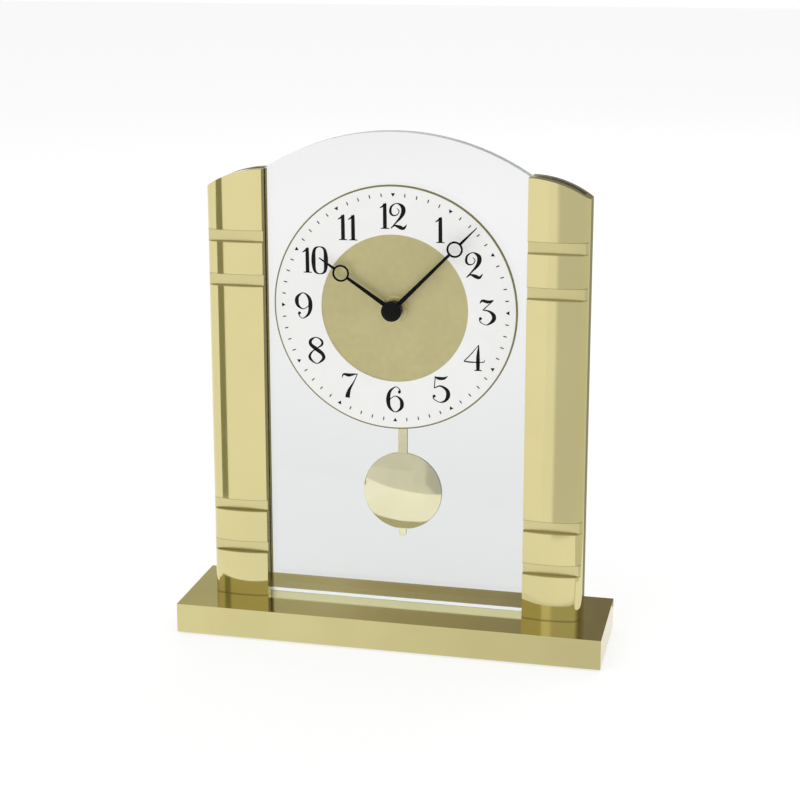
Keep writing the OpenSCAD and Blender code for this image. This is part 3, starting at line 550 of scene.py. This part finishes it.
class Print:
    """Flat shapes of ink that become one thin piece on the dial."""

    def __init__(self):
        self.points, self.faces = [], []

    def strip(self, left, right, closed=False):
        """A band between two lines of points, with its back and walls."""
        first = len(self.points)
        for a, b in zip(left, right):
            for x, z in (a, b):
                over = x * math.cos(print_turn) - z * math.sin(print_turn)
                up = x * math.sin(print_turn) + z * math.cos(print_turn)
                self.points.append((over, print_y - ink_t, shaft_z + up))
                self.points.append((over, print_y, shaft_z + up))
        count = len(left)
        for i in range(count if closed else count - 1):
            p = first + 4 * i
            q = first + 4 * ((i + 1) % count)
            self.faces += [(p, p + 2, q + 2, q), (p + 1, q + 1, q + 3, p + 3),
                           (p, q, q + 1, p + 1), (p + 2, p + 3, q + 3, q + 2)]
        if not closed:
            for p in (first, first + 4 * (count - 1)):
                self.faces.append((p, p + 1, p + 3, p + 2))

    def disc(self, x, z, r):
        """A round drop of ink."""
        steps = 12
        turn = [i * math.pi / steps for i in range(steps + 1)]
        self.strip([(x + r * math.cos(t), z + r * math.sin(t)) for t in turn],
                   [(x + r * math.cos(t), z - r * math.sin(t)) for t in turn])

    def stroke(self, nodes, closed=False):
        """A pen line through (x, z, width) nodes, curved smoothly between them."""
        count = len(nodes)
        parts = 8
        line = []
        for i in range(count if closed else count - 1):
            if closed:
                a, b, c, d = (nodes[(i + k) % count] for k in (-1, 0, 1, 2))
            else:
                b, c = nodes[i], nodes[i + 1]
                a = nodes[i - 1] if i else b
                d = nodes[i + 2] if i + 2 < count else c
            for k in range(parts):
                t = k / parts
                line.append([0.5 * (2 * q + (r - p) * t + (2 * p - 5 * q + 4 * r - s) * t * t
                                    + (3 * q - p - 3 * r + s) * t ** 3)
                             for p, q, r, s in zip(a, b, c, d)])
        if not closed:
            line.append(list(nodes[-1]))
        left, right = [], []
        last = len(line) - 1
        for i, (x, z, w) in enumerate(line):
            back = line[i - 1] if i or closed else line[i]
            ahead = line[(i + 1) % len(line)] if i < last or closed else line[i]
            dx, dz = ahead[0] - back[0], ahead[1] - back[1]
            reach = math.hypot(dx, dz) or 1
            left.append((x - dz / reach * w / 2, z + dx / reach * w / 2))
            right.append((x + dz / reach * w / 2, z - dx / reach * w / 2))
        self.strip(left, right, closed)

    def build(self, name, body, material):
        """Makes the printed piece."""
        data = bpy.data.meshes.new(name)
        data.from_pydata(self.points, [], self.faces)
        data.materials.append(material)
        piece = bpy.data.objects.new(name, data)
        bpy.context.scene.collection.objects.link(piece)
        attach(piece, body)


six = [(0.55, 0.83, 0.05), (0.50, 0.95, 0.03), (0.36, 1.01, 0.03), (0.14, 0.82, 0.09),
       (0.065, 0.50, 0.135), (0.12, 0.18, 0.10), (0.34, 0.0, 0.03), (0.56, 0.14, 0.09),
       (0.615, 0.32, 0.13), (0.56, 0.52, 0.09), (0.36, 0.64, 0.03), (0.16, 0.53, 0.03),
       (0.10, 0.42, 0.03)]
nine = [(0.68 - x, 1 - z, w) for x, z, w in six]
# Each digit: its width, its pen lines and its drops, in shares of the numeral's height
digits = {
    "1": (0.40, [[(0.03, 0.80, 0.02), (0.13, 0.86, 0.05), (0.27, 1.0, 0.02)],
                 [(0.225, 0.97, 0.11), (0.225, 0.5, 0.12), (0.225, 0.02, 0.12)],
                 [(0.06, 0.012, 0.025), (0.225, 0.02, 0.04), (0.39, 0.012, 0.025)]], []),
    "2": (0.70, [[(0.30, 0.80, 0.02), (0.385, 0.70, 0.03), (0.31, 0.555, 0.03),
                  (0.145, 0.525, 0.05), (0.045, 0.645, 0.08), (0.09, 0.867, 0.06),
                  (0.30, 0.99, 0.03), (0.515, 0.87, 0.12), (0.55, 0.68, 0.14),
                  (0.46, 0.478, 0.10), (0.267, 0.256, 0.05), (0.078, 0.045, 0.03)],
                 [(0.056, 0.02, 0.03), (0.21, 0.13, 0.05), (0.405, 0.072, 0.12),
                  (0.555, 0.033, 0.09), (0.683, 0.183, 0.015)]], []),
    "3": (0.69, [[(0.08, 0.84, 0.015), (0.18, 0.95, 0.08), (0.40, 0.91, 0.10), (0.61, 0.985, 0.02)],
                 [(0.60, 0.965, 0.025), (0.35, 0.73, 0.03), (0.20, 0.587, 0.03)],
                 [(0.20, 0.585, 0.03), (0.43, 0.55, 0.06), (0.61, 0.40, 0.125),
                  (0.60, 0.20, 0.12), (0.35, 0.012, 0.03), (0.12, 0.10, 0.03),
                  (0.065, 0.22, 0.04)]], [(0.105, 0.25, 0.058)]),
    "4": (0.84, [[(0.60, 1.02, 0.02), (0.30, 0.65, 0.03), (0.03, 0.37, 0.03)],
                 [(0.02, 0.36, 0.04), (0.25, 0.335, 0.045), (0.60, 0.335, 0.03),
                  (0.80, 0.35, 0.03)],
                 [(0.80, 0.35, 0.03), (0.83, 0.44, 0.015)],
                 [(0.60, 1.02, 0.02), (0.578, 0.7, 0.09), (0.568, 0.4, 0.12), (0.568, 0.02, 0.11)],
                 [(0.42, 0.012, 0.025), (0.57, 0.02, 0.04), (0.72, 0.012, 0.025)]], []),
    "5": (0.70, [[(0.12, 1.02, 0.02), (0.27, 0.955, 0.10), (0.48, 0.96, 0.09), (0.64, 1.05, 0.015)],
                 [(0.145, 1.0, 0.03), (0.105, 0.555, 0.03)],
                 [(0.105, 0.555, 0.03), (0.345, 0.65, 0.05), (0.60, 0.50, 0.11),
                  (0.65, 0.28, 0.135), (0.54, 0.07, 0.08), (0.317, 0.0, 0.03),
                  (0.095, 0.11, 0.03), (0.055, 0.21, 0.04)]], [(0.10, 0.235, 0.058)]),
    "6": (0.68, [six], [(0.515, 0.81, 0.06)]),
    "7": (0.67, [[(0.02, 0.79, 0.015), (0.09, 0.94, 0.06), (0.29, 0.915, 0.11),
                  (0.49, 0.95, 0.06), (0.655, 0.98, 0.02)],
                 [(0.645, 0.965, 0.025), (0.50, 0.66, 0.04), (0.33, 0.36, 0.09),
                  (0.25, 0.13, 0.14), (0.235, 0.0, 0.15)]], []),
    "8": (0.68, [[(0.33, 1.05, 0.03), (0.12, 0.93, 0.09), (0.11, 0.76, 0.11),
                  (0.33, 0.58, 0.13), (0.57, 0.40, 0.12), (0.61, 0.20, 0.10),
                  (0.34, 0.0, 0.03), (0.07, 0.20, 0.09), (0.12, 0.42, 0.06),
                  (0.34, 0.60, 0.03), (0.56, 0.76, 0.07), (0.55, 0.93, 0.07)]], []),
    "9": (0.68, [nine], [(0.165, 0.19, 0.06)]),
    "0": (0.64, [[(0.32, 1.03, 0.03), (0.52, 0.92, 0.09), (0.57, 0.50, 0.14),
                  (0.52, 0.08, 0.09), (0.32, -0.03, 0.03), (0.12, 0.08, 0.09),
                  (0.07, 0.50, 0.14), (0.12, 0.92, 0.09)]], []),
}
closed_strokes = ("8", "0")
for hour in range(1, 13):
    word = str(hour)
    width = sum(digits[d][0] for d in word)
    turn = math.radians(30 * hour)
    x = numeral_r * math.sin(turn) - width / 2 * numeral_h
    low = numeral_r * math.cos(turn) - numeral_h / 2
    numeral = Print()
    for d in word:
        advance, strokes, drops = digits[d]
        for nodes in strokes:
            numeral.stroke([(x + a * numeral_h, low + b * numeral_h, w * numeral_h * pen)
                            for a, b, w in nodes], closed=d in closed_strokes)
        for a, b, r in drops:
            numeral.disc(x + a * numeral_h, low + b * numeral_h, r * numeral_h)
        x += advance * numeral_h
    numeral.build(f"numeral_{hour}", "clock_body", ink)

# The minute track: a small triangle that points inwards at each hour, and four short
# strokes between two triangles, printed with the numerals.
track_r = 48.7 * mm
mark_l = 1.5 * mm
mark_w = 0.45 * mm
triangle_l = 1.5 * mm
triangle_w = 1.8 * mm
triangle_tip_w = 0.05 * mm
track = Print()
for minute in range(60):
    turn = math.radians(6 * minute)
    across = (math.cos(turn), -math.sin(turn))
    along = (math.sin(turn), math.cos(turn))
    is_hour = minute % 5 == 0
    length = triangle_l if is_hour else mark_l
    outer_w = triangle_w if is_hour else mark_w
    inner_w = triangle_tip_w if is_hour else mark_w
    ends = [(track_r - length / 2, inner_w), (track_r + length / 2, outer_w)]
    sides = [[(along[0] * r + side * across[0] * w / 2, along[1] * r + side * across[1] * w / 2)
              for r, w in ends] for side in (-1, 1)]
    track.strip(*sides)
track.build("minute_track", "clock_body", ink)

# The fixing on the shaft: a threaded brass bush, a thin washer and a hexagon nut clamp
# the dial and the pane against the movement, with a rubber washer behind the glass.
turned_brass, shader = surface("turned_brass", Metallic=1.0)
tint(turned_brass, shader, (0.78, 0.70, 0.36), (0.72, 0.65, 0.32), 0.002)
rub(turned_brass, shader, 0.16, 0.26, 0.0006)
relief(turned_brass, shader, 0.000003, 0.0001, (0.2, 1, 0.2))
dress(turned_brass, "mounting_bush", "minute_arbor", "centre_wheel")
satin_brass, shader = surface("satin_brass", Metallic=1.0)
tint(satin_brass, shader, (0.66, 0.60, 0.33), (0.62, 0.56, 0.305), 0.003)
rub(satin_brass, shader, 0.42, 0.52, 0.001)
dress(satin_brass, "dial_washer", "mounting_nut")
break_edges("dial_washer", 0.25 * mm)
rubber, shader = surface("rubber", Roughness=0.75)
tint(rubber, shader, (0.025, 0.025, 0.025), (0.04, 0.04, 0.04), 0.001)
relief(rubber, shader, 0.00002, 0.0003)
dress(rubber, "rubber_washer")

# The movement case: a shallow box and its back cover, moulded in black plastic with a
# fine spark-eroded grain. The battery bay above it is open to the back.
case_plastic, shader = surface("case_plastic")
tint(case_plastic, shader, (0.018, 0.018, 0.020), (0.027, 0.027, 0.029), 0.004)
rub(case_plastic, shader, 0.42, 0.58, 0.001)
relief(case_plastic, shader, 0.00003, 0.00035, detail=6.0)
dress(case_plastic, "movement_housing", "movement_cover", "setting_knob")

# The going train: wheels, their rear bridge and the pendulum's hanger, all moulded in pale
# acetal that is left bare. Each wheel is one moulding with its pivots or its pipe.
acetal, shader = surface("acetal", Subsurface_Weight=0.05)
tint(acetal, shader, (0.80, 0.77, 0.66), (0.76, 0.73, 0.62), 0.003)
rub(acetal, shader, 0.32, 0.45, 0.001)
dress(acetal, "train_bridge", "motion_wheel", "hour_wheel", "third_wheel", "fourth_wheel",
      "fifth_wheel", "rotor", "pendulum_hanger")

# The motor and the circuit: plated magnets and stator, windings of enamelled copper
# wire, a lacquered board and the bright can of the quartz crystal.
plated, shader = surface("plated", Metallic=1.0)
tint(plated, shader, (0.42, 0.42, 0.44), (0.36, 0.36, 0.38), 0.001)
rub(plated, shader, 0.25, 0.38, 0.0007)
dress(plated, "rotor_magnet", "stator", "hanger_magnet")
nickel, shader = surface("nickel", Metallic=1.0)
tint(nickel, shader, (0.68, 0.67, 0.63), (0.62, 0.61, 0.58), 0.001)
rub(nickel, shader, 0.12, 0.25, 0.0006)
dress(nickel, "quartz_crystal", "contact_positive", "contact_negative")
wire, shader = surface("copper_wire", Metallic=0.8)
tint(wire, shader, (0.55, 0.22, 0.09), (0.43, 0.16, 0.06), 0.0006)
rub(wire, shader, 0.2, 0.4, 0.0004)
relief(wire, shader, 0.00006, 0.00012, (1, 0.05, 1))
dress(wire, "motor_coil", "drive_coil")
board, shader = surface("board", Roughness=0.35)
tint(board, shader, (0.02, 0.12, 0.05), (0.03, 0.16, 0.07), 0.0008)
relief(board, shader, 0.00002, 0.0005)
dress(board, "circuit_board")

# The battery: one AA cell in a plain dark jacket over its steel can. It is held between
# the two contacts and comes straight out of the back.
jacket, shader = surface("battery_jacket", Metallic=0.3)
tint(jacket, shader, (0.030, 0.034, 0.045), (0.040, 0.044, 0.056), 0.006)
rub(jacket, shader, 0.22, 0.34, 0.002)
dress(jacket, "battery")

# The pendulum: a strip of polished brass with a pressed, lens-shaped bob, hooked on a
# small plastic hanger that swings on a steel pin behind the dial.
bob_brass, shader = surface("bob_brass", Metallic=1.0)
tint(bob_brass, shader, (0.98, 0.895, 0.59), (0.955, 0.87, 0.57), 0.02)
rub(bob_brass, shader, 0.04, 0.07, 0.004)
tree = bob_brass.node_tree
# The right-hand rim of the bob is painted dark, a painted reflection of the dark side of the room
rim = span(tree, facing_of(tree)["X"], 0.3, 0.6)
painted_dark_rim = (0.16, 0.14, 0.06, 1)
face = shader.inputs["Base Color"].links[0].from_socket
tree.links.new(blend(tree, "RGBA", rim, face, painted_dark_rim), shader.inputs["Base Color"])
dress(bob_brass, "pendulum_rod", "pendulum_bob")
for name in ("pendulum_rod", "pendulum_bob"):
    break_edges(name, 0.2 * mm)

# The hands: stamped steel with a hollow ring near the tip, enamelled black, and a domed
# cap nut, turned and lacquered black, that holds them on the shaft.
enamel, shader = surface("black_enamel", Specular_IOR_Level=0.03)
tint(enamel, shader, (0.004, 0.004, 0.004), (0.007, 0.007, 0.007), 0.002)
rub(enamel, shader, 0.22, 0.32, 0.001)
dress(enamel, "hour_hand", "minute_hand")
gloss_black, shader = surface("gloss_black", Specular_IOR_Level=0.05)
rub(gloss_black, shader, 0.16, 0.24, 0.0005)
ring_w = 0.8 * mm
# The wave node makes 20 / (2 pi) rings to the metre for each 1 of its scale
ring_scale = 2 * math.pi / (20 * ring_w)
black = (0.003, 0.003, 0.004, 1)
painted_crest_highlight = (0.03, 0.03, 0.03, 1)
tree = gloss_black.node_tree
place = add(tree, "ShaderNodeTexCoord")
middle = add(tree, "ShaderNodeMapping", Location=(0, 0, -shaft_z))
turning = add(tree, "ShaderNodeTexWave", wave_type="RINGS", rings_direction="Y", Scale=ring_scale)
lathe = add(tree, "ShaderNodeBump", Strength=1.0, Distance=0.3 * mm)
tree.links.new(place.outputs["Object"], middle.inputs["Vector"])
tree.links.new(middle.outputs["Vector"], turning.inputs["Vector"])
tree.links.new(turning.outputs["Fac"], lathe.inputs["Height"])
tree.links.new(lathe.outputs["Normal"], shader.inputs["Normal"])
# The crests of the turned rings are painted a little lighter than the black: a painted highlight.
crest_highlight_mask = span(tree, turning.outputs["Fac"], 0.8, 1.0)
tree.links.new(blend(tree, "RGBA", crest_highlight_mask, black, painted_crest_highlight), shader.inputs["Base Color"])
dress(gloss_black, "cap_nut")
break_edges("cap_nut", 0.15 * mm)
